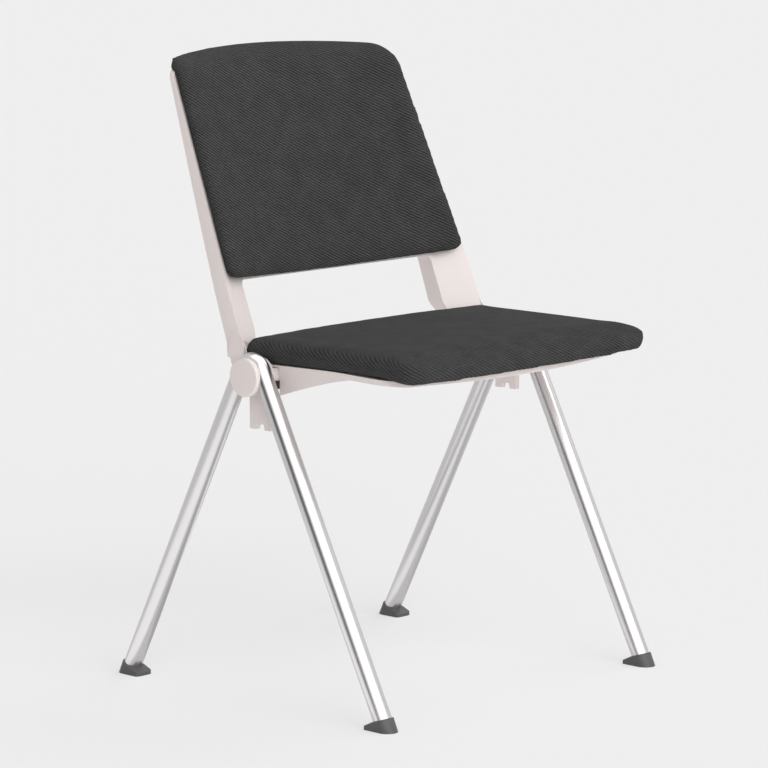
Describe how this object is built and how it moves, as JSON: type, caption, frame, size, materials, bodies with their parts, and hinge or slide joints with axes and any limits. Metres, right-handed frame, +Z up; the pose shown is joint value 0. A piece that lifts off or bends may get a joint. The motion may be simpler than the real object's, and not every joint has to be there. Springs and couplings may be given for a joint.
{
  "type": "conference chair",
  "caption": "Upholstered conference chair on tubular side frames, with a moulded curved back on arms and a seat that tips up on a hinge axis between the frames.",
  "frame": {"origin": "on the floor between the four feet, straight under the hinge axis of the seat", "axes": "+Z up, -Y to the front of the chair, +X to the sitter's left"},
  "size_m": [0.554, 0.5291, 0.8525],
  "materials": {
    "chrome_tube": "polished",
    "foot_plastic": "moulded",
    "shell_plastic": "fine grained",
    "cap_plastic": "fine grained",
    "pan_plastic": "fine grained",
    "clamp_aluminium": "cast",
    "bolt_steel": "zinc plated",
    "cross_tube_paint": "powder coated",
    "stop_rubber": "moulded",
    "bush_plastic": "moulded",
    "clip_plastic": "moulded",
    "board_wood": "plywood",
    "pad_fabric": "woven twill"
  },
  "bodies": {
    "frame": {"side_frame_right": "chrome_tube", "side_frame_left": "chrome_tube", "foot_front_right": "foot_plastic", "foot_front_left": "foot_plastic", "foot_rear_right": "foot_plastic", "foot_rear_left": "foot_plastic", "frame_clamps": "clamp_aluminium", "clamp_bolts": "bolt_steel", "end_caps": "cap_plastic", "cross_tube": "cross_tube_paint", "end_plugs": "bolt_steel", "stop_bumpers": "stop_rubber", "back_shell": "shell_plastic", "back_board": "board_wood", "back_clips": "clip_plastic", "back_pad": "pad_fabric"},
    "seat": {"seat_pan": "pan_plastic", "hinge_bushes": "bush_plastic", "seat_board": "board_wood", "board_screws": "bolt_steel", "seat_pad": "pad_fabric"}
  },
  "joints": [
    {"name": "seat_flip", "type": "hinge", "parent": "frame", "child": "seat", "pos_m": [0, 0, 0.4375], "axis": [-1, 0, 0], "range_deg": [0, 90]}
  ]
}
